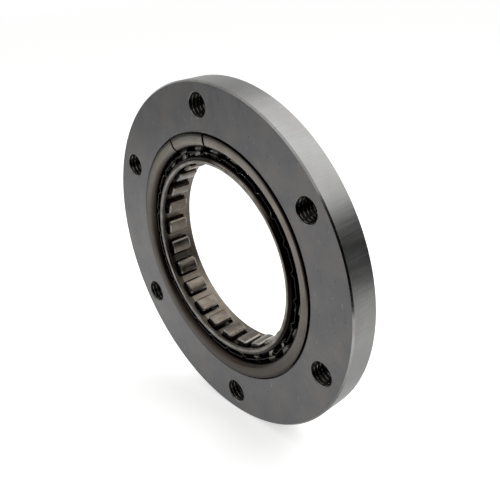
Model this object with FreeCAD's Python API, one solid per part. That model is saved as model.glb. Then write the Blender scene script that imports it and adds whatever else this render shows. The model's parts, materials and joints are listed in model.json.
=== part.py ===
import FreeCAD, Part
import math
import os
from FreeCAD import Vector

# Starter clutch: a flat ring with six tapped holes, a ring of sprags between two windowed cages
# and a corrugated ribbon spring. The clutch axis is Y, the face with the cage flange looks along -Y,
# +Z is up and the origin is the centre of the bolt circle in that face. All sizes are in millimetres.
# Angles run clockwise from +Z, seen from the flange side.

# Ring
outer_radius = 53.5
ring_thickness = 9.0
ring_wall = 16.8
edge_chamfer = 0.5
bolt_count = 6
bolt_edge_distance = 7.0
tap_drill_radius = 3.4
shoulder_width = 1.9

# Sprags, measured from the race inwards
sprag_spacing = 8.5
first_sprag_angle = 5.4
sprag_length = 6.5
sprag_setback = 2.3
race_clearance = 0.05
head_radius = 2.6
head_start_angle = 2.0
head_end_angle = 210.0
waist_right = 1.0
waist_right_drop = 1.35
waist_left = 2.4
waist_left_drop = 1.68
neck_right = 0.1
neck_left = 3.0
cam_radius = 4.5
cam_drop = 1.57
cam_lean = 1.9
cam_half_width = 2.2
cam_shoulder = 0.65

# Cages
sheet = 0.9
bend_bevel = 0.6
outer_cage_gap = 1.8
flange_gap = 0.45
flange_proud = 0.35
flange_seat_clearance = 0.05
cage_spacing = 2.75
outer_cage_rail = 1.7
inner_cage_rail = 2.5
lip_width = 2.05
window_end_clearance = 0.4
window_side_clearance = 0.3
swing_room = 1.5
neck_clearance = 0.5
wide_slit_angle = 1.5
wide_slit_width = 0.9
narrow_slit_angle = -24.6
narrow_slit_width = 0.5

# Ribbon spring
ribbon_thickness = 0.25
ribbon_gap = 1.2
ribbon_setback = 0.6
ribbon_rail = 1.2
ribbon_side_clearance = 0.95
ribbon_swing = 0.2
notch_depth = 1.1
notch_half_width = 1.2


def arc_degrees(length, radius):
    """Returns the angle that a length takes up on a circle."""
    return math.degrees(length / radius)


# Radii, depths and angles that follow from the sizes above
race_radius = outer_radius - ring_wall
bolt_radius = outer_radius - bolt_edge_distance
seat_radius = race_radius + shoulder_width
flange_radius = seat_radius - flange_gap
seat_depth = sheet - flange_proud + flange_seat_clearance
pivot_radius = race_radius - race_clearance - head_radius
cage_outside = race_radius - outer_cage_gap
cage_inside = cage_outside - sheet
strip_outside = cage_inside - cage_spacing
strip_inside = strip_outside - sheet
lip_radius = strip_outside - lip_width
ribbon_radius = cage_inside - ribbon_gap
ribbon_opening = waist_right + waist_left + ribbon_swing + 2 * ribbon_side_clearance
ribbon_shift = arc_degrees((waist_right + ribbon_swing - waist_left) / 2, ribbon_radius)
sprag_back = sprag_setback + sprag_length
window_front = sprag_setback - window_end_clearance
window_back = sprag_back + window_end_clearance
outer_cage_length = window_back + outer_cage_rail
inner_cage_length = window_back + inner_cage_rail
sprag_count = int(2 * math.pi * pivot_radius / sprag_spacing)
pitch = 360.0 / sprag_count


def around(radius, angle):
    """Returns the point at this radius and clockwise angle, in the front plane."""
    turn = math.radians(angle)
    return Vector(radius * math.sin(turn), 0, radius * math.cos(turn))


def turned(shape, angle):
    """Returns a copy of a shape turned clockwise about the clutch axis."""
    copy = shape.copy()
    copy.rotate(Vector(0, 0, 0), Vector(0, 1, 0), angle)
    return copy


def ring_from(edges):
    """Turns a closed profile about the clutch axis."""
    return Part.Face(Part.Wire(edges)).revolve(Vector(0, 0, 0), Vector(0, 1, 0), 360)


def lines_through(points):
    """Straight edges from each point to the next."""
    return [Part.LineSegment(start, end).toShape() for start, end in zip(points, points[1:])]


def make_ring():
    """Clutch body: race bore, seat for the cage flange, six tapped holes."""
    back = ring_thickness
    corners = [
        Vector(seat_radius, 0, 0),
        Vector(outer_radius - edge_chamfer, 0, 0),
        Vector(outer_radius, edge_chamfer, 0),
        Vector(outer_radius, back - edge_chamfer, 0),
        Vector(outer_radius - edge_chamfer, back, 0),
        Vector(race_radius, back, 0),
        Vector(race_radius, seat_depth, 0),
        Vector(seat_radius, seat_depth, 0),
        Vector(seat_radius, 0, 0),
    ]
    ring = ring_from(lines_through(corners))
    holes = []
    for index in range(bolt_count):
        centre = around(bolt_radius, index * 360.0 / bolt_count)
        holes.append(Part.makeCylinder(tap_drill_radius, back, centre, Vector(0, 1, 0)))
    return ring.cut(Part.makeCompound(holes))


def window_row(half_width, centre_angle, inside, outside):
    """Cutters, one window per sprag, that reach through a wall."""
    cutter = Part.makeBox(
        2 * half_width, window_back - window_front, outside - inside,
        Vector(-half_width, window_front, inside))
    return Part.makeCompound([turned(cutter, centre_angle + index * pitch) for index in range(sprag_count)])


def slit_cutter(angle, width):
    """Radial slit through the flange that opens into the window behind it."""
    inside = cage_inside - sheet
    start = -flange_proud - sheet
    length = window_front + window_end_clearance - start
    block = Part.makeBox(width, length, flange_radius + sheet - inside, Vector(-width / 2, start, inside))
    return turned(block, angle)


def bent_ring(tube_face, flange_edge, front, back, side):
    """Sheet tube whose front is bent into a flange, outwards (side 1) or inwards (side -1)."""
    wall = tube_face + side * sheet
    return ring_from(lines_through([
        Vector(tube_face + side * bend_bevel, front, 0),
        Vector(flange_edge, front, 0),
        Vector(flange_edge, front + sheet, 0),
        Vector(wall, front + sheet, 0),
        Vector(wall, back, 0),
        Vector(tube_face, back, 0),
        Vector(tube_face, front + bend_bevel, 0),
        Vector(tube_face + side * bend_bevel, front, 0),
    ]))


def make_outer_cage():
    """Flanged outer cage: one window per sprag and two slits that free a springy drag tongue."""
    cage = bent_ring(cage_inside, flange_radius, -flange_proud, outer_cage_length, 1)
    half_width = head_radius + window_side_clearance
    cage = cage.cut(window_row(half_width, first_sprag_angle, cage_inside - sheet, cage_outside + sheet))
    slits = Part.makeCompound([
        slit_cutter(wide_slit_angle, wide_slit_width),
        slit_cutter(narrow_slit_angle, narrow_slit_width),
    ])
    return cage.cut(slits)


def make_inner_cage():
    """Inner cage strip with a lip turned inwards at the front and one window per sprag."""
    cage = bent_ring(strip_outside, lip_radius, 0, inner_cage_length, -1)
    width = neck_left + neck_right + swing_room + 2 * neck_clearance
    middle = neck_right + neck_clearance - width / 2
    centre_angle = first_sprag_angle + arc_degrees(middle, strip_outside)
    return cage.cut(window_row(width / 2, centre_angle, strip_inside - sheet, strip_outside + sheet))


def ribbon_loop(offset):
    """Closed corrugated outline: a flat at each sprag and a V notch between each two."""
    flat = ribbon_radius + offset
    valley = ribbon_radius - notch_depth + offset
    half = arc_degrees(notch_half_width, ribbon_radius)
    points = []
    for index in range(sprag_count):
        notch = first_sprag_angle + (index + 0.5) * pitch + ribbon_shift
        points += [around(flat, notch - half), around(valley, notch), around(flat, notch + half)]
    points.append(points[0])
    return Part.makePolygon(points)


def make_ribbon():
    """Thin spring band between the cages, open at every sprag."""
    half = ribbon_thickness / 2
    length = window_back + ribbon_rail - ribbon_setback
    outside = Part.Face(ribbon_loop(half)).extrude(Vector(0, length, 0))
    inside = Part.Face(ribbon_loop(-half)).extrude(Vector(0, length, 0))
    band = outside.cut(inside)
    band.translate(Vector(0, ribbon_setback, 0))
    reach = ribbon_gap / 2
    openings = window_row(
        ribbon_opening / 2, first_sprag_angle + ribbon_shift, ribbon_radius - reach, ribbon_radius + reach)
    return band.cut(openings)


def make_sprag():
    """One sprag at the top of the clutch: outer head on the race, waist, neck and inner cam."""
    def at(side, up):
        return Vector(side, sprag_setback, pivot_radius + up)

    def on_head(angle):
        turn = math.radians(angle)
        return at(head_radius * math.cos(turn), head_radius * math.sin(turn))

    neck_top = strip_outside + neck_clearance / 2 - pivot_radius
    neck_foot = strip_inside - neck_clearance / 2 - pivot_radius
    cam_top = neck_foot - cam_shoulder
    cam_side = -cam_drop - math.sqrt(cam_radius ** 2 - cam_half_width ** 2)
    right = cam_half_width - cam_lean
    left = -cam_half_width - cam_lean
    cam = [at(left, cam_side), at(-cam_lean, -cam_drop - cam_radius), at(right, cam_side)]
    outline = [Part.Arc(on_head(head_start_angle), on_head(90), on_head(head_end_angle)).toShape()]
    outline += lines_through([
        on_head(head_end_angle), at(-waist_left, -waist_left_drop), at(-neck_left, neck_top),
        at(left, cam_top), cam[0]])
    outline.append(Part.Arc(*cam).toShape())
    outline += lines_through([
        cam[-1], at(right, cam_top), at(neck_right, neck_foot), at(neck_right, neck_top),
        at(waist_right, -waist_right_drop), on_head(head_start_angle)])
    return Part.Face(Part.Wire(outline)).extrude(Vector(0, sprag_length, 0))


nodes = {
    "outer_race": make_ring(),
    "outer_cage": make_outer_cage(),
    "inner_cage": make_inner_cage(),
    "ribbon_spring": make_ribbon(),
}
sprag = make_sprag()
for number in range(sprag_count):
    nodes["sprag_%02d" % (number + 1)] = turned(sprag, first_sprag_angle + number * pitch)

os.makedirs("parts", exist_ok=True)
for name, shape in nodes.items():
    shape.exportStep("parts/" + name + ".step")
    print(name, shape.isValid(), len(shape.Solids), round(shape.Volume, 3))
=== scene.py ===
import json
import math
import bpy
import bmesh
from mathutils import Matrix, Vector


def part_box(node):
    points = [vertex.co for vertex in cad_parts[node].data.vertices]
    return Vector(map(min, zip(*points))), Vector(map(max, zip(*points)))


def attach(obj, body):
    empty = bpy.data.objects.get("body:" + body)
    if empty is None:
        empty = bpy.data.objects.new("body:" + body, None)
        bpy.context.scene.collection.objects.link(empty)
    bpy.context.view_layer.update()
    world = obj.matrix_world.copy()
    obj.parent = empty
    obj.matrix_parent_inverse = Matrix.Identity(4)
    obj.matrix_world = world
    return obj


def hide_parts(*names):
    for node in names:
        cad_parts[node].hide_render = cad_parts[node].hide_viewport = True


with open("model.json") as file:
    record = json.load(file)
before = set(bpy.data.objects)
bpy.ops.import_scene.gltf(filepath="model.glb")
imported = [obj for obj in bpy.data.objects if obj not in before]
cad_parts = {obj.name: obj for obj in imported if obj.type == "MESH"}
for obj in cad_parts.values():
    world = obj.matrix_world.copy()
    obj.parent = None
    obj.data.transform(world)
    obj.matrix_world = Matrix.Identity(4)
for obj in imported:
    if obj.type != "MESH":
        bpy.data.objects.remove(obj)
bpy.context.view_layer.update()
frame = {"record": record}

# One-way starter clutch, standing on its rim. Lengths in the dictionaries are millimetres.
# The clutch axis is Y, the flange side looks along -Y, angles run clockwise from the top.

mm = 0.001
mounts = {mount["name"]: mount for mount in frame["record"]["mounts"]}
boltCircle = mounts["bolt_circle"]["dims"]
boltRadius = boltCircle["pcd_mm"] / 2
tapRadius = boltCircle["hole_r_mm"]
holeAngles = [360.0 * index / boltCircle["count"] for index in range(boltCircle["count"])]
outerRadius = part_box("outer_race")[1][0] / mm
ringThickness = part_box("outer_race")[1][1] / mm
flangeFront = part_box("outer_cage")[0][1] / mm
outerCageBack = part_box("outer_cage")[1][1] / mm
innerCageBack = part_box("inner_cage")[1][1] / mm
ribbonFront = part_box("ribbon_spring")[0][1] / mm
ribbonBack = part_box("ribbon_spring")[1][1] / mm
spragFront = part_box("sprag_01")[0][1] / mm
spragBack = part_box("sprag_01")[1][1] / mm
spragJoints = [joint for joint in frame["record"]["behaviour"]["joints"] if joint["name"].endswith("_rock")]
spragAngles = [math.degrees(math.atan2(joint["pos_m"][0], joint["pos_m"][2])) for joint in spragJoints]
pivotRadius = math.hypot(spragJoints[0]["pos_m"][0], spragJoints[0]["pos_m"][2]) / mm
pitch = 360.0 / len(spragJoints)


# Meshes

overreach = 0.6  # how far a cutter stands out past the sheet that it cuts


def around(radius, angle, depth):
    turn = math.radians(angle)
    return Vector((radius * math.sin(turn), depth, radius * math.cos(turn))) * mm


def arcPoints(centre, radius, start, end, steps):
    # These angles run anticlockwise from the right
    points = []
    for step in range(steps + 1):
        turn = math.radians(start + (end - start) * step / steps)
        points.append((centre[0] + radius * math.cos(turn), centre[1] + radius * math.sin(turn)))
    return points


def rounded(corners, steps=5):
    # corners are (x, y, radius); each one with a radius becomes a short curve
    points = []
    for index, (x, y, radius) in enumerate(corners):
        here = Vector((x, y))
        if radius <= 0:
            points.append(here)
            continue
        before = (Vector(corners[index - 1][:2]) - here).normalized()
        after = (Vector(corners[(index + 1) % len(corners)][:2]) - here).normalized()
        half = before.angle(after) / 2
        reach = radius / math.tan(half)
        centre = here + (before + after).normalized() * radius / math.sin(half)
        start = here + before * reach - centre
        sweep = start.angle_signed(here + after * reach - centre)
        for step in range(steps + 1):
            turn = Matrix.Rotation(-sweep * step / steps, 2)
            points.append(centre + turn @ start)
    return [(point[0], point[1]) for point in points]


def addObject(name, data):
    holder = bpy.data.objects.new(name, data)
    bpy.context.scene.collection.objects.link(holder)
    return holder


def meshFrom(name, verts, faces):
    mesh = bpy.data.meshes.new(name)
    mesh.from_pydata([tuple(vert) for vert in verts], [], faces)
    shape = bmesh.new()
    shape.from_mesh(mesh)
    bmesh.ops.recalc_face_normals(shape, faces=shape.faces)
    shape.to_mesh(mesh)
    shape.free()
    return addObject(name, mesh)


def skin(name, rows, closed=False):
    # Joins each row of points to the next. A closed skin comes back to its first row, any other is capped.
    count = len(rows[0])
    last = (len(rows) - 1) * count
    faces = [] if closed else [tuple(range(count)), tuple(range(last, last + count))]
    for row in range(len(rows) if closed else len(rows) - 1):
        here = row * count
        there = (row + 1) % len(rows) * count
        for index in range(count):
            following = (index + 1) % count
            faces.append((here + index, here + following, there + following, there + index))
    return meshFrom(name, [point for points in rows for point in points], faces)


def lathe(name, profile, segments):
    # profile is a closed loop of (radius, depth)
    rows = []
    for segment in range(segments):
        rows.append([around(radius, 360.0 * segment / segments, depth) for radius, depth in profile])
    return skin(name, rows, closed=True)


def prism(name, outline, low, high, angle):
    # outline is (side, depth), pushed outwards from low to high radius, then turned about the axis
    turn = Matrix.Rotation(math.radians(angle), 3, "Y")
    rows = [[turn @ Vector((side, depth, height)) * mm for side, depth in outline] for height in (low, high)]
    return skin(name, rows)


def joinAll(pieces):
    shape = bmesh.new()
    for piece in pieces:
        shape.from_mesh(piece.data)
    joined = bpy.data.meshes.new("cutters")
    shape.to_mesh(joined)
    shape.free()
    for piece in pieces:
        bpy.data.objects.remove(piece)
    return addObject("cutters", joined)


def cut(piece, cutters):
    tool = joinAll(cutters)
    change = piece.modifiers.new("cut", "BOOLEAN")
    change.operation = "DIFFERENCE"
    change.solver = "EXACT"
    change.object = tool
    cutMesh = bpy.data.meshes.new_from_object(piece.evaluated_get(bpy.context.evaluated_depsgraph_get()))
    piece.modifiers.clear()
    piece.data = cutMesh
    bpy.data.objects.remove(tool)


def cutWindows(piece, window, inside, outside, shift=0):
    # One window over each sprag, through the sheet between the two radii
    half = window["width"] / 2
    front, back, corner = window["front"], window["back"], window["corner"]
    outline = rounded([
        (-half, front, corner), (half, front, corner), (half, back, corner), (-half, back, corner)])
    low, high = inside - overreach, outside + overreach
    cut(piece, [prism("window", outline, low, high, angle + shift) for angle in spragAngles])


def finishShape(piece, sharpAngle=32):
    # Smooth, with a crease wherever two faces meet at more than the sharp angle
    piece.data.polygons.foreach_set("use_smooth", [True] * len(piece.data.polygons))
    piece.data.set_sharp_from_angle(angle=math.radians(sharpAngle))


def dress(piece, body, node, slot, *materials):
    # The first material covers the piece, the others are there for paint to use
    for material in materials:
        piece.data.materials.append(material)
    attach(piece, body)
    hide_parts(node)


def paint(piece, polygon, material):
    polygon.material_index = piece.data.materials.find(material.name)


# Materials

def linear(hexColour):
    # From the hex value that a screen shows to the linear one that the light is worked out in
    channels = [int(hexColour[start:start + 2], 16) / 255 for start in (1, 3, 5)]
    mixed = [value / 12.92 if value <= 0.04045 else ((value + 0.055) / 1.055) ** 2.4 for value in channels]
    return (*mixed, 1.0)


def emptyTree(owner):
    # owner is a material or the world
    owner.use_nodes = True
    owner.node_tree.nodes.clear()
    return owner.node_tree


def addNode(tree, kind, values=None):
    # A lower-case name is one of the node's own settings, any other is an input to set or link
    node = tree.nodes.new(kind)
    for name, value in (values or {}).items():
        if isinstance(name, str) and name[0].islower():
            setattr(node, name, value)
        elif isinstance(value, bpy.types.NodeSocket):
            tree.links.new(value, node.inputs[name])
        else:
            node.inputs[name].default_value = value
    return node


# Shared by all the steels: from where to where in its pattern each tint fades in, and how fine
# the noise is. Pits and glints fade in towards the middle of their cells. The lean is in radians.
pattern = {
    "grainFade": (0.32, 0.68), "sheenFade": (0.3, 0.7), "grainDetail": 4.0, "grainRoughness": 0.6,
    "tarnishFade": (0.4, 0.62), "blotchDetail": 5.0, "blotchRoughness": 0.55, "pitFade": (0.13, 0.05),
    "glintFade": (0.12, 0.04), "scratchFade": (0.7, 0.76), "scratchDetail": 1.0, "scratchLean": 0.7}


def layOver(tree, metal, tint, share, *reaches):
    # Each reach is (value, where the tint begins, where it is full) and holds the share down elsewhere
    for value, begins, full in reaches:
        share = addNode(tree, "ShaderNodeMapRange", {
            "Value": value, "From Min": begins, "From Max": full, "To Max": share}).outputs[0]
    return addNode(tree, "ShaderNodeMix", {
        "data_type": "RGBA", 0: share, 6: metal, 7: linear(tint)}).outputs[2]


def grainOf(tree, look, place, axes, radius):
    # Straight with the piece's own directions, or wound round the axis where the look has a grain radius
    start = place
    if "grainRadius" in look:
        across, depth, up = axes
        angle = addNode(tree, "ShaderNodeMath", {"operation": "ARCTAN2", 0: across, 1: up})
        arc = addNode(tree, "ShaderNodeMath", {
            "operation": "MULTIPLY", 0: angle.outputs[0], 1: look["grainRadius"] * mm})
        start = addNode(tree, "ShaderNodeCombineXYZ", {0: arc.outputs[0], 1: depth, 2: radius}).outputs[0]
    stretched = addNode(tree, "ShaderNodeVectorMath", {
        "operation": "MULTIPLY", 0: start, 1: [1 / (size * mm) for size in look["grainSize"]]})
    return addNode(tree, "ShaderNodeTexNoise", {
        "Vector": stretched.outputs[0], "Scale": 1.0, "Detail": pattern["grainDetail"],
        "Roughness": pattern["grainRoughness"]}).outputs["Fac"]


def scratchesOf(tree, look, place):
    leaning = addNode(tree, "ShaderNodeMapping", {
        "Vector": place, "Rotation": (0, pattern["scratchLean"], 0),
        "Scale": [1 / (size * mm) for size in look["scratchSize"]]})
    return addNode(tree, "ShaderNodeTexNoise", {
        "Vector": leaning.outputs[0], "Scale": 1.0, "Detail": pattern["scratchDetail"]}).outputs["Fac"]


def paintShadeOver(tree, metal, look, depth, radius, flat):
    # Lays each patch of painted shade, at its share, over the metal
    measures = {"radius": radius, "depth": depth}
    for share, *places in look.get("paintedShadePatches", ()):
        reaches = []
        for measure, shadeStarts, shadeFull in places:
            if measure not in measures:  # then it is the angle that the patch lies towards
                measures[measure] = addNode(tree, "ShaderNodeVectorMath", {
                    "operation": "DOT_PRODUCT", 0: flat, 1: around(1 / mm, measure, 0)}).outputs["Value"]
            reaches.append((measures[measure], shadeStarts * mm, shadeFull * mm))
        metal = layOver(tree, metal, look["shadeAndOil"], share, *reaches)
    return metal


def steel(name, look):
    # Bare steel: a grain that follows the way it was made, tarnish, specks, fine scratches, oil pits and
    # patches of painted shade
    material = bpy.data.materials.new(name)
    tree = emptyTree(material)
    place = addNode(tree, "ShaderNodeTexCoord").outputs["Object"]
    axes = addNode(tree, "ShaderNodeSeparateXYZ", {0: place}).outputs
    across, depth, up = axes
    flat = addNode(tree, "ShaderNodeCombineXYZ", {0: across, 2: up}).outputs[0]
    radius = addNode(tree, "ShaderNodeVectorMath", {"operation": "LENGTH", 0: flat}).outputs["Value"]

    grain = grainOf(tree, look, place, axes, radius)
    blotch = addNode(tree, "ShaderNodeTexNoise", {
        "Vector": place, "Scale": 1 / (look["blotchSize"] * mm), "Detail": pattern["blotchDetail"],
        "Roughness": pattern["blotchRoughness"]}).outputs["Fac"]
    pits = addNode(tree, "ShaderNodeTexVoronoi", {
        "Vector": place, "Scale": 1 / (look["pitSpacing"] * mm)}).outputs["Distance"]
    glints = addNode(tree, "ShaderNodeTexVoronoi", {
        "Vector": place, "Scale": 1 / (look["glintSpacing"] * mm)}).outputs["Distance"]
    scratches = scratchesOf(tree, look, place)

    metal = linear(look["dark"])
    for tint, share, value, fade in (
            ("light", 1.0, grain, pattern["grainFade"]),
            ("tarnish", look["tarnishShare"], blotch, pattern["tarnishFade"]),
            ("shadeAndOil", look["pitShare"], pits, pattern["pitFade"]),
            ("glint", look["glintShare"], glints, pattern["glintFade"]),
            ("glint", look["scratchShare"], scratches, pattern["scratchFade"])):
        metal = layOver(tree, metal, look[tint], share, (value, *fade))
    metal = paintShadeOver(tree, metal, look, depth, radius, flat)

    fadeStart, fadeEnd = pattern["sheenFade"]
    smoothest, roughest = look["roughness"]
    rough = addNode(tree, "ShaderNodeMapRange", {
        "Value": grain, "From Min": fadeStart, "From Max": fadeEnd, "To Min": smoothest, "To Max": roughest})
    bump = addNode(tree, "ShaderNodeBump", {
        "Height": grain, "Strength": look["bump"], "Distance": look["grainDepth"] * mm})
    shader = addNode(tree, "ShaderNodeBsdfPrincipled", {
        "Metallic": 1.0, "Base Color": metal, "Roughness": rough.outputs[0], "Normal": bump.outputs[0]})
    addNode(tree, "ShaderNodeOutputMaterial", {"Surface": shader.outputs[0]})
    return material


# A grain with a radius is wound round the axis: its sizes run round, along and out from the axis.
# A straight one's run across, along and up.
# A painted shade patch is its share and then where it lies: by radius, by depth or by how far it is towards
# an angle, first the place where the shade starts, then the one where it is full.
shadeFadesBack = ("depth", 9.0, 6.0)  # the painted shade fades out towards the backs of the cages and sprags
frontShade = (0.75, ("depth", 0.0, 0.4), ("depth", 3.0, 2.6))  # painted shade: the first 3 mm of the strip are dark

# Ground face: mid-dark neutral grey, clouded warm and cool, with small specks and hair-fine
# scratches. Real grinding lines are finer; these are as coarse as they need to be to show.
groundSteel = steel("groundSteel", {
    "dark": "#5a5a5c", "light": "#666668", "tarnish": "#6a6866", "shadeAndOil": "#3a393b", "glint": "#969698",
    "roughness": (0.36, 0.5), "grainSize": (0.5, 0.5, 9.0),
    "grainDepth": 0.02, "bump": 0.06, "blotchSize": 11.0, "tarnishShare": 0.9, "pitSpacing": 2.4,
    "pitShare": 0.55, "glintSpacing": 1.9, "glintShare": 0.45, "scratchSize": (0.5, 0.5, 4.0),
    "scratchShare": 0.4})

# Turned rim: bright, with faint streaks across its width where the lathe marks spread the light
turnedLook = {
    "dark": "#757675", "light": "#828381", "tarnish": "#757170", "shadeAndOil": "#3e3e3d", "glint": "#9c9c9a",
    "roughness": (0.34, 0.43), "grainRadius": 53.5, "grainSize": (0.4, 12.0, 4.0),
    "grainDepth": 0.02, "bump": 0.014, "blotchSize": 9.0, "tarnishShare": 0.5, "pitSpacing": 3.6,
    "pitShare": 0.15, "glintSpacing": 3.0, "glintShare": 0.2, "scratchSize": (0.6, 6.0, 0.6),
    "scratchShare": 0.15,
    # Painted shade: darker on the rim towards the lower right, and a little darker at the top from 50 mm out
    "paintedShadePatches": ((0.85, (137.0, 44.0, 53.0)), (0.4, ("radius", 50.0, 51.0), (3.0, 49.6, 52.3)))}
turnedSteel = steel("turnedSteel", turnedLook)

# Edge chamfers: paler and off a finer cut, smooth enough to mirror the dark parts of the room; they carry the
# rim's painted shade too
chamferSteel = steel("chamferSteel", {
    **turnedLook, "dark": "#8f8f8d", "light": "#9f9f9d", "roughness": (0.16, 0.24)})

# Seated places, the flange's edge and the slit walls: nearly black, with oil and painted shade
shadeAndOilLook = {
    "dark": "#121111", "light": "#2b2a2a", "tarnish": "#191614", "shadeAndOil": "#0b0a0a", "glint": "#8c8a87",
    "roughness": (0.22, 0.38), "grainRadius": 46.5, "grainSize": (0.6, 0.4, 0.6),
    "grainDepth": 0.02, "bump": 0.2, "blotchSize": 2.0, "tarnishShare": 0.6, "pitSpacing": 1.2,
    "pitShare": 0.4, "glintSpacing": 0.8, "glintShare": 0.35, "scratchSize": (0.4, 0.4, 2.0),
    "scratchShare": 0.2}
shadeAndOilSteel = steel("shadeAndOilSteel", shadeAndOilLook)

# Threads: flanks painted nearly black as shade in the holes, and crests painted paler as a highlight, so that
# the turns show
flankSteel = steel("flankSteel", {**shadeAndOilLook, "dark": "#0c0b0b", "light": "#1e1d1c", "glintShare": 0.15})
crestSteel = steel("crestSteel", {**shadeAndOilLook, "dark": "#4d4b48", "light": "#86827d"})

# Pressed cage sheet: satin warm grey, drawn smooth round its bend, brown to black inside it with oil and
# painted shade
pressedSteel = steel("pressedSteel", {
    "dark": "#69655e", "light": "#7f7a72", "tarnish": "#625951", "shadeAndOil": "#1a120e", "glint": "#a5a199",
    "roughness": (0.28, 0.42), "grainRadius": 36.0, "grainSize": (6.0, 0.4, 0.25),
    "grainDepth": 0.015, "bump": 0.08, "blotchSize": 7.0, "tarnishShare": 0.5, "pitSpacing": 1.9,
    "pitShare": 0.35, "glintSpacing": 2.4, "glintShare": 0.25, "scratchSize": (0.4, 0.4, 3.0),
    "scratchShare": 0.15,
    # Painted shade: darker towards the lower left, a dark outer margin on the flange that is darkest at the
    # right, and dark inside the bend
    "paintedShadePatches": (
        (0.7, (205.0, -32.0, 18.0)), (1.0, ("radius", 37.25, 37.7), (66.0, 31.7, 35.5)),
        (0.6, ("radius", 37.35, 37.65), (262.0, -37.0, -20.0)), (1.0, ("radius", 35.5, 34.1), shadeFadesBack))})

# Inner strip: taupe, with painted shade: black where it meets the gap, dark for its first 3 mm
stripLook = {
    "dark": "#544e47", "light": "#6b645b", "tarnish": "#4e4740", "shadeAndOil": "#17120f", "glint": "#9b958c",
    "roughness": (0.3, 0.45), "grainRadius": 31.0, "grainSize": (5.0, 0.35, 0.3),
    "grainDepth": 0.015, "bump": 0.1, "blotchSize": 4.0, "tarnishShare": 0.7, "pitSpacing": 1.7,
    "pitShare": 0.35, "glintSpacing": 2.0, "glintShare": 0.25, "scratchSize": (0.35, 0.35, 2.5),
    "scratchShare": 0.2, "paintedShadePatches": ((1.0, ("radius", 30.45, 30.8), shadeFadesBack), frontShade)}
stripSteel = steel("stripSteel", stripLook)

# Its lip: a paler grey, partly worn by handling and partly a painted highlight; painted shade darkens its
# outer edge except at the upper right
lipSteel = steel("lipSteel", {
    **stripLook, "dark": "#726e69", "light": "#88847e", "roughness": (0.22, 0.34),
    "paintedShadePatches": ((1.0, ("radius", 29.95, 30.4), (210.0, -29.6, -27.6)),
                   (1.0, ("radius", 30.8, 31.3), shadeFadesBack), frontShade)})

# Spring band: thin strip, nearly black with oil and painted shade, with painted glints along its edge and
# painted shade towards the lower left
springSteel = steel("springSteel", {
    "dark": "#0e0b0a", "light": "#201a17", "tarnish": "#0b0908", "shadeAndOil": "#0a0807", "glint": "#d8d4cc",
    "roughness": (0.16, 0.3), "grainRadius": 32.8, "grainSize": (3.0, 0.3, 0.3),
    "grainDepth": 0.01, "bump": 0.1, "blotchSize": 2.5, "tarnishShare": 0.8, "pitSpacing": 1.5,
    "pitShare": 0.3, "glintSpacing": 2.0, "glintShare": 0.6, "scratchSize": (0.4, 0.4, 2.0),
    "scratchShare": 0.2, "paintedShadePatches": ((0.95, (240.0, -6.0, 18.0)),)})

# Sprags: hardened and tumbled, grey with a brown cast, dark out towards the race in the gap between the
# cages, with oil and painted shade
tumbledSteel = steel("tumbledSteel", {
    "dark": "#565049", "light": "#69635b", "tarnish": "#483f38", "shadeAndOil": "#17120f", "glint": "#958f87",
    "roughness": (0.26, 0.4), "grainSize": (0.5, 3.0, 0.5),
    "grainDepth": 0.012, "bump": 0.1, "blotchSize": 2.5, "tarnishShare": 0.6, "pitSpacing": 1.3,
    "pitShare": 0.3, "glintSpacing": 1.5, "glintShare": 0.25, "scratchSize": (0.3, 2.0, 0.3),
    "scratchShare": 0.2, "paintedShadePatches": ((1.0, ("radius", 30.0, 31.5), shadeFadesBack),)})

# Sprag ends: rubbed to bare pale metal, the paleness partly a painted highlight; dark further out in the gap,
# with oil and painted shade
rubbedHighlightLook = {
    "dark": "#7c7872", "light": "#938f89", "tarnish": "#6e6963", "shadeAndOil": "#1d1814", "glint": "#b2aea8",
    "roughness": (0.24, 0.42), "grainSize": (0.5, 0.5, 0.5),
    "grainDepth": 0.012, "bump": 0.1, "blotchSize": 2.0, "tarnishShare": 0.6, "pitSpacing": 1.1,
    "pitShare": 0.4, "glintSpacing": 1.2, "glintShare": 0.3, "scratchSize": (0.3, 0.3, 2.0),
    "scratchShare": 0.2, "paintedShadePatches": ((1.0, ("radius", 32.9, 33.7), shadeFadesBack),)}
rubbedHighlightSteel = steel("rubbedHighlightSteel", rubbedHighlightLook)

# Side bevels on the left of the cams: a painted highlight, only a little paler than the rest
bevelSteel = steel("bevelSteel", {**rubbedHighlightLook, "dark": "#6c6862", "light": "#7f7b75"})
print("materials made")


# Clutch body

ring = {
    "raceRadius": 36.7, "seatRadius": 38.6, "seatDepth": 0.6, "edgeChamfer": 0.45, "innerChamfer": 0.12,
    "segments": 360, "threadPitch": 1.25, "threadDepth": 0.62, "threadSides": 40, "threadStep": 0.125,
    "threadOverrun": 0.2, "countersink": 0.5, "bareCountersink": 0.3, "crestBand": 0.1, "rimBand": 0.9,
    "faceLevel": 0.95}


def threadCutter(centreAngle):
    # A screw-shaped plug: wherever it reaches, the hole is cut with thread and countersink
    centre = around(boltRadius, centreAngle, 0)
    sides = ring["threadSides"]
    span = ringThickness + 2 * ring["threadOverrun"]
    steps = round(span / ring["threadStep"])
    rows = []
    for step in range(steps + 1):
        depth = -ring["threadOverrun"] + span * step / steps
        sink = tapRadius + ring["countersink"] - min(depth, ringThickness - depth)
        row = []
        for side in range(sides):
            inTurn = (depth / ring["threadPitch"] - side / sides) % 1.0
            thread = tapRadius + ring["threadDepth"] * (1 - abs(2 * inTurn - 1))
            row.append(centre + around(max(thread, sink), 360.0 * side / sides, depth))
        rows.append(row)
    return skin("threadCutter", rows)


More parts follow.
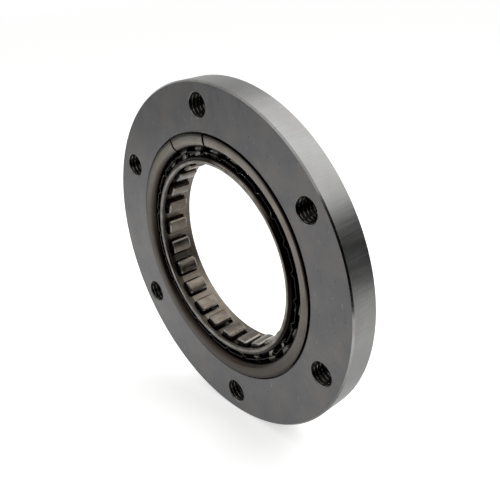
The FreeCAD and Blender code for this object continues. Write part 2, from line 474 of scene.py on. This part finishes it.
def paintBody(body):
    # Oil and painted shade in the race and on the seat, bright rim and countersinks, threads with painted
    # shade on their flanks and a painted highlight on their crests
    seat, inner = ring["seatRadius"], ring["innerChamfer"]
    holeCentres = [around(boltRadius, angle, 0).xz for angle in holeAngles]
    for polygon in body.data.polygons:
        radius = polygon.center.xz.length / mm
        depth = polygon.center.y / mm
        fromFace = min(depth, ringThickness - depth)
        fromHole = min((polygon.center.xz - hole).length for hole in holeCentres) / mm
        if radius < seat + inner and ringThickness - depth > inner:
            paint(body, polygon, shadeAndOilSteel)
        elif abs(polygon.normal.y) > ring["faceLevel"]:
            continue
        elif fromHole < tapRadius + ring["threadDepth"]:
            if fromFace <= ring["bareCountersink"]:
                paint(body, polygon, turnedSteel)
            elif fromHole < tapRadius + ring["crestBand"]:
                paint(body, polygon, crestSteel)
            else:
                paint(body, polygon, flankSteel)
        elif radius > outerRadius - ring["rimBand"]:
            paint(body, polygon, chamferSteel if fromFace < ring["edgeChamfer"] else turnedSteel)


def makeBody():
    edge, inner = ring["edgeChamfer"], ring["innerChamfer"]
    race, seat, depth = ring["raceRadius"], ring["seatRadius"], ring["seatDepth"]
    body = lathe("clutchBody", [
        (seat + inner, 0), (outerRadius - edge, 0), (outerRadius, edge), (outerRadius, ringThickness - edge),
        (outerRadius - edge, ringThickness), (race + inner, ringThickness), (race, ringThickness - inner),
        (race, depth + inner), (race + inner, depth), (seat, depth), (seat, inner)], ring["segments"])
    cut(body, [threadCutter(angle) for angle in holeAngles])
    finishShape(body)
    dress(body, "clutch_body", "outer_race", "ground_steel", groundSteel, turnedSteel, shadeAndOilSteel,
          chamferSteel, flankSteel, crestSteel)
    paintBody(body)


makeBody()
print("clutch body made")


# Cages

# Each slit is its angle and its width. A slit's wall is found within the slack of its place.
cage = {
    "sheet": 0.9, "bend": 1.2, "edge": 0.08, "wallInside": 34.0, "flangeRadius": 38.15, "segments": 360,
    "window": {"front": 1.9, "back": 8.95, "width": 5.5, "corner": 1.0},
    "slits": ((1.5, 0.9), (-24.6, 0.8)), "slitDepth": 2.3, "slitSlack": 0.01}

strip = {
    "wallOutside": 31.25, "lipRadius": 29.2, "bend": 0.15, "lipEdge": 0.38, "paleRadius": 31.3,
    "window": {"front": 1.9, "back": 9.2, "width": 5.6, "corner": 0.8}, "windowMiddle": -2.2}


def bentSheet(name, tubeFace, flangeEdge, front, back, side, bend, lipEdge):
    # Tube wall that turns into a flange at its front: outwards for side 1, inwards for side -1
    sheet, edge = cage["sheet"], cage["edge"]
    wall = tubeFace + side * sheet
    return lathe(name, rounded([
        (tubeFace, front, bend + sheet), (flangeEdge, front, lipEdge), (flangeEdge, front + sheet, edge),
        (wall, front + sheet, bend), (wall, back, edge), (tubeFace, back, edge)]), cage["segments"])


def paintOuterCage(piece):
    # Painted shade, with oil: the flange's edge and the walls of the slits are dark
    for polygon in piece.data.polygons:
        if polygon.center.xz.length / mm > cage["flangeRadius"] - cage["edge"]:
            paint(piece, polygon, shadeAndOilSteel)
    for angle, width in cage["slits"]:
        turn = Matrix.Rotation(math.radians(-angle), 3, "Y")
        for polygon in piece.data.polygons:
            centre = turn @ polygon.center / mm
            onWall = abs(abs(centre.x) - width / 2) < cage["slitSlack"]
            if onWall and centre.z > 0 and centre.y < cage["slitDepth"]:
                paint(piece, polygon, shadeAndOilSteel)


def makeOuterCage():
    inside = cage["wallInside"]
    piece = bentSheet("outerCage", inside, cage["flangeRadius"], flangeFront, outerCageBack, 1,
                      cage["bend"], cage["edge"])
    cutWindows(piece, cage["window"], inside, inside + cage["sheet"])
    front, back = flangeFront - overreach, cage["slitDepth"]
    slits = []
    for angle, width in cage["slits"]:
        half = width / 2
        outline = [(-half, front), (half, front), (half, back), (-half, back)]
        slits.append(prism("slit", outline, inside - overreach, cage["flangeRadius"] + overreach, angle))
    cut(piece, slits)
    finishShape(piece)
    dress(piece, "outer_cage", "outer_cage", "cage_steel", pressedSteel, shadeAndOilSteel)
    paintOuterCage(piece)


def makeInnerCage():
    outside = strip["wallOutside"]
    piece = bentSheet("innerCage", outside, strip["lipRadius"], 0, innerCageBack, -1,
                      strip["bend"], strip["lipEdge"])
    shift = math.degrees(strip["windowMiddle"] / outside)
    cutWindows(piece, strip["window"], outside - cage["sheet"], outside, shift)
    finishShape(piece)
    dress(piece, "inner_cage", "inner_cage", "strip_steel", stripSteel, lipSteel)
    # The lip's front and curve get the paler lip steel, partly a painted highlight
    for polygon in piece.data.polygons:
        if polygon.center.y < strip["lipEdge"] * mm and polygon.center.xz.length < strip["paleRadius"] * mm:
            paint(piece, polygon, lipSteel)


makeOuterCage()
makeInnerCage()
print("cages made")


# Ribbon spring

ribbon = {
    "radius": 32.8, "thickness": 0.25, "notchDepth": 1.1, "notchHalf": 1.2, "shoulderBend": 0.45,
    "valleyBend": 0.2, "bendSteps": 4, "shift": -0.6,
    "opening": {"front": 1.9, "back": 9.2, "width": 5.5, "corner": 0.6}}


def ribbonLine(shift):
    # The band's middle, seen from the flange side: a flat at each sprag and a notch between each two
    reach = math.degrees(ribbon["notchHalf"] / ribbon["radius"])
    shoulder, valley = (0, ribbon["shoulderBend"]), (ribbon["notchDepth"], ribbon["valleyBend"])
    corners = []
    for angle in spragAngles:
        notch = angle + pitch / 2 + shift
        for offset, (drop, bend) in ((-reach, shoulder), (0, valley), (reach, shoulder)):
            turn = math.radians(notch + offset)
            radius = ribbon["radius"] - drop
            corners.append((radius * math.sin(turn), radius * math.cos(turn), bend))
    return [Vector(point) for point in rounded(corners, ribbon["bendSteps"])]


def makeRibbon():
    half = ribbon["thickness"] / 2
    section = ((-half, ribbonFront), (half, ribbonFront), (half, ribbonBack), (-half, ribbonBack))
    shift = math.degrees(ribbon["shift"] / ribbon["radius"])
    line = ribbonLine(shift)
    rows = []
    for index, point in enumerate(line):
        along = (line[(index + 1) % len(line)] - line[index - 1]).normalized()
        across = Vector((-along.y, along.x))
        spots = [(point + across * side, depth) for side, depth in section]
        rows.append([Vector((spot.x, depth, spot.y)) * mm for spot, depth in spots])
    piece = skin("ribbonSpring", rows, closed=True)
    cutWindows(piece, ribbon["opening"], ribbon["radius"], ribbon["radius"], shift)
    finishShape(piece)
    dress(piece, "ribbon", "ribbon_spring", "spring_steel", springSteel)


makeRibbon()
print("ribbon made")


# Sprags

# Places are (side, up) from the centre of the outer head. The head's angles run anticlockwise from
# the right. The two facings tell the ends and the bevels on the left by how far a normal leans.
sprag = {
    "headRadius": 2.6, "headStart": 2, "headEnd": 210, "waistRight": (1.0, -1.35), "waistLeft": (-2.4, -1.68),
    "neckRight": 0.1, "neckLeft": -3.0, "neckTop": -2.55, "neckFoot": -3.95, "camTop": -4.6,
    "camRadius": 9.0, "camFoot": -6.07, "camLean": 1.9, "camHalf": 2.2, "endBevel": 0.36, "sideBevel": 0.42,
    "headSteps": 32, "waistSteps": 7, "camSteps": 8, "sharpAngle": 28, "endFacing": 0.3,
    "bevelFacing": (-0.9, -0.45)}


def throughPoints(start, middle, end, steps):
    # Points on the circle through three points, without the first
    corners = [Vector(start), Vector(middle), Vector(end)]
    across, up, scale = 0, 0, 0
    for index, corner in enumerate(corners):
        following, previous = corners[index - 2], corners[index - 1]
        rise = following.y - previous.y
        across += corner.length_squared * rise
        up += corner.length_squared * (previous.x - following.x)
        scale += 2 * corner.x * rise
    centre = Vector((across / scale, up / scale))
    first, second, third = [corner - centre for corner in corners]
    sweep = -first.angle_signed(second) - second.angle_signed(third)
    return [centre + Matrix.Rotation(sweep * step / steps, 2) @ first for step in range(1, steps + 1)]


def spragOutline():
    # From the right of the head over its top, down the left side, round the cam and up again
    lean, half, bevel = sprag["camLean"], sprag["camHalf"], sprag["sideBevel"]
    left, right, top = -half - lean, half - lean, sprag["camTop"]
    down = 270
    reach = math.degrees(math.asin((half - bevel) / sprag["camRadius"]))
    camCentre = (-lean, sprag["camFoot"] + sprag["camRadius"])
    cam = arcPoints(camCentre, sprag["camRadius"], down - reach, down + reach, sprag["camSteps"])
    bevelTop = cam[0][1] + bevel
    points = arcPoints((0, 0), sprag["headRadius"], sprag["headStart"], sprag["headEnd"], sprag["headSteps"])
    neckLeft = (sprag["neckLeft"], sprag["neckTop"])
    points += throughPoints(points[-1], sprag["waistLeft"], neckLeft, sprag["waistSteps"])
    points += [(left, top), (left, bevelTop), *cam, (right, bevelTop), (right, top)]
    points += [(sprag["neckRight"], sprag["neckFoot"]), (sprag["neckRight"], sprag["neckTop"])]
    points += throughPoints(points[-1], sprag["waistRight"], points[0], sprag["waistSteps"])[:-1]
    return [(point[0], point[1]) for point in points]


def bevelEnds(piece, count):
    # The two ends are the only faces with as many corners as the outline
    shape = bmesh.new()
    shape.from_mesh(piece.data)
    rims = [edge for edge in shape.edges if any(len(face.verts) == count for face in edge.link_faces)]
    bmesh.ops.bevel(shape, geom=rims, offset=sprag["endBevel"] * mm, segments=1, affect="EDGES",
                    clamp_overlap=True)
    shape.to_mesh(piece.data)
    shape.free()


def paintSprag(piece, upright):
    # upright turns the sprag back to the top of the clutch
    steepest, flattest = sprag["bevelFacing"]
    for polygon in piece.data.polygons:
        normal = upright @ polygon.normal
        inCam = (upright @ polygon.center).z / mm < pivotRadius + sprag["camTop"]
        # Ends rubbed pale, partly a painted highlight; the bevels on the left of the cam get a painted
        # highlight
        if abs(normal.y) > sprag["endFacing"]:
            paint(piece, polygon, rubbedHighlightSteel)
        elif inCam and steepest < normal.x < flattest:
            paint(piece, polygon, bevelSteel)


def makeSprags():
    outline = spragOutline()
    for number, angle in enumerate(spragAngles, 1):
        turn = Matrix.Rotation(math.radians(angle), 3, "Y")
        rows = []
        for depth in (spragFront, spragBack):
            rows.append([turn @ Vector((side, depth, pivotRadius + up)) * mm for side, up in outline])
        piece = skin("strut_%02d" % number, rows)
        bevelEnds(piece, len(outline))
        finishShape(piece, sprag["sharpAngle"])
        name = "sprag_%02d" % number
        dress(piece, name, name, "sprag_steel", tumbledSteel, rubbedHighlightSteel, bevelSteel)
        paintSprag(piece, turn.inverted())


makeSprags()
print("sprags made")


# Floor, light and camera

studio = {"floorSize": 12000, "floorDark": "#f0f0ef", "floorLight": "#f6f6f5", "floorMottle": 16.667,
          "floorLift": 0.5, "world": "#ffffff", "worldLight": 0.55, "worldSeen": 1.0}

lamps = {
    "overhead": {"place": (140, 260, 380), "aim": (0, 0, 0), "size": 600, "power": 2.0},
    "frontFill": {"place": (-300, -380, 60), "aim": (0, 0, 0), "size": 340, "power": 0.25}}

# Dark cards that only the steel mirrors, in turn in the rim's right side, in the top of the face,
# in the front edge and in the left side of the cage flange
cards = {
    "behindRight": {"place": (155, 105, 11), "aim": (50, 4, 11), "width": 190, "height": 128},
    "farLeft": {"place": (-340, -235, -2), "aim": (0, 0, -2), "width": 320, "height": 100},
    "belowCamera": {"place": (143, -92, 30), "aim": (50, 0, 99), "width": 240, "height": 186},
    "inFront": {"place": (52, -115, -5), "aim": (17, 0, -5), "width": 150, "height": 96}}

cloth = {"dark": "#0a0a0a", "light": "#141414", "mottle": 2.5}

view = {"place": (149.119, -102.281, 78.16), "aim": (12.361, 22.682, 19.5), "rollDegrees": -5.438,
        "focalPixels": 650.17, "framePixels": 500, "sensorWidth": 36.0, "shiftX": -0.09, "shiftY": -0.1356,
        "nearest": 10}


def seenDirectly(tree):
    # 1 for camera, glossy and transmission rays, so that metal shows the pale background too
    path = addNode(tree, "ShaderNodeLightPath")
    glossy = addNode(tree, "ShaderNodeMath", {
        "operation": "MAXIMUM", 0: path.outputs["Is Camera Ray"], 1: path.outputs["Is Glossy Ray"]})
    return addNode(tree, "ShaderNodeMath", {
        "operation": "MAXIMUM", 0: glossy.outputs[0], 1: path.outputs["Is Transmission Ray"]}).outputs[0]


def aimAt(target, place, aim, roll=0):
    forward = (Vector(aim) - Vector(place)).normalized()
    turn = forward.to_track_quat("-Z", "Y").to_matrix().to_4x4()
    lean = Matrix.Rotation(math.radians(roll), 4, "Z")
    target.matrix_world = Matrix.Translation(Vector(place) * mm) @ turn @ lean


def mattSurface(name, dark, light, mottle, lift=0):
    # Evenly matt and faintly mottled; the lift whitens what the camera and mirrors see of it
    material = bpy.data.materials.new(name)
    tree = emptyTree(material)
    place = addNode(tree, "ShaderNodeTexCoord").outputs["Object"]
    patches = addNode(tree, "ShaderNodeTexNoise", {"Vector": place, "Scale": 1 / (mottle * mm)})
    tint = addNode(tree, "ShaderNodeMix", {
        "data_type": "RGBA", 0: patches.outputs["Fac"], 6: linear(dark), 7: linear(light)})
    matt = addNode(tree, "ShaderNodeBsdfDiffuse", {"Color": tint.outputs[2]})
    share = addNode(tree, "ShaderNodeMath", {"operation": "MULTIPLY", 0: seenDirectly(tree), 1: lift})
    glow = addNode(tree, "ShaderNodeEmission", {"Color": linear("#ffffff"), "Strength": share.outputs[0]})
    both = addNode(tree, "ShaderNodeAddShader", {0: matt.outputs[0], 1: glow.outputs[0]})
    addNode(tree, "ShaderNodeOutputMaterial", {"Surface": both.outputs[0]})
    return material


def stageSheet(name, width, height, material):
    across, up = width / 2 * mm, height / 2 * mm
    corners = [(-across, -up, 0), (across, -up, 0), (across, up, 0), (-across, up, 0)]
    piece = meshFrom(name, corners, [(0, 1, 2, 3)])
    piece.data.materials.append(material)
    return piece


def makeWorld():
    # Softer as a light than as the white background that is seen
    world = bpy.data.worlds.new("paleStudio")
    tree = emptyTree(world)
    colour = linear(studio["world"])
    soft = addNode(tree, "ShaderNodeBackground", {"Color": colour, "Strength": studio["worldLight"]})
    white = addNode(tree, "ShaderNodeBackground", {"Color": colour, "Strength": studio["worldSeen"]})
    mixed = addNode(tree, "ShaderNodeMixShader", {
        0: seenDirectly(tree), 1: soft.outputs[0], 2: white.outputs[0]})
    addNode(tree, "ShaderNodeOutputWorld", {"Surface": mixed.outputs[0]})
    bpy.context.scene.world = world


def makeFloor():
    paper = mattSurface("palePaper", studio["floorDark"], studio["floorLight"], studio["floorMottle"],
                        studio["floorLift"])
    floor = stageSheet("floor", studio["floorSize"], studio["floorSize"], paper)
    floor.location.z = -outerRadius * mm


def hangCards():
    felt = mattSurface("blackFelt", cloth["dark"], cloth["light"], cloth["mottle"])
    for name, values in cards.items():
        card = stageSheet(name, values["width"], values["height"], felt)
        aimAt(card, values["place"], values["aim"])
        card.visible_camera = False
        card.visible_shadow = False
        card.visible_diffuse = False


def hangLamps():
    for name, values in lamps.items():
        lamp = bpy.data.lights.new(name, "AREA")
        lamp.size = values["size"] * mm
        lamp.energy = values["power"]
        aimAt(addObject(name, lamp), values["place"], values["aim"])


def placeCamera():
    camera = bpy.data.cameras.new("camera")
    camera.sensor_width = view["sensorWidth"]
    camera.lens = view["focalPixels"] * view["sensorWidth"] / view["framePixels"]
    camera.shift_x = view["shiftX"]
    camera.shift_y = view["shiftY"]
    camera.clip_start = view["nearest"] * mm
    holder = addObject("camera", camera)
    aimAt(holder, view["place"], view["aim"], view["rollDegrees"])
    bpy.context.scene.camera = holder


makeWorld()
makeFloor()
hangCards()
hangLamps()
placeCamera()
bpy.context.scene.view_settings.view_transform = "Standard"
print("studio made")
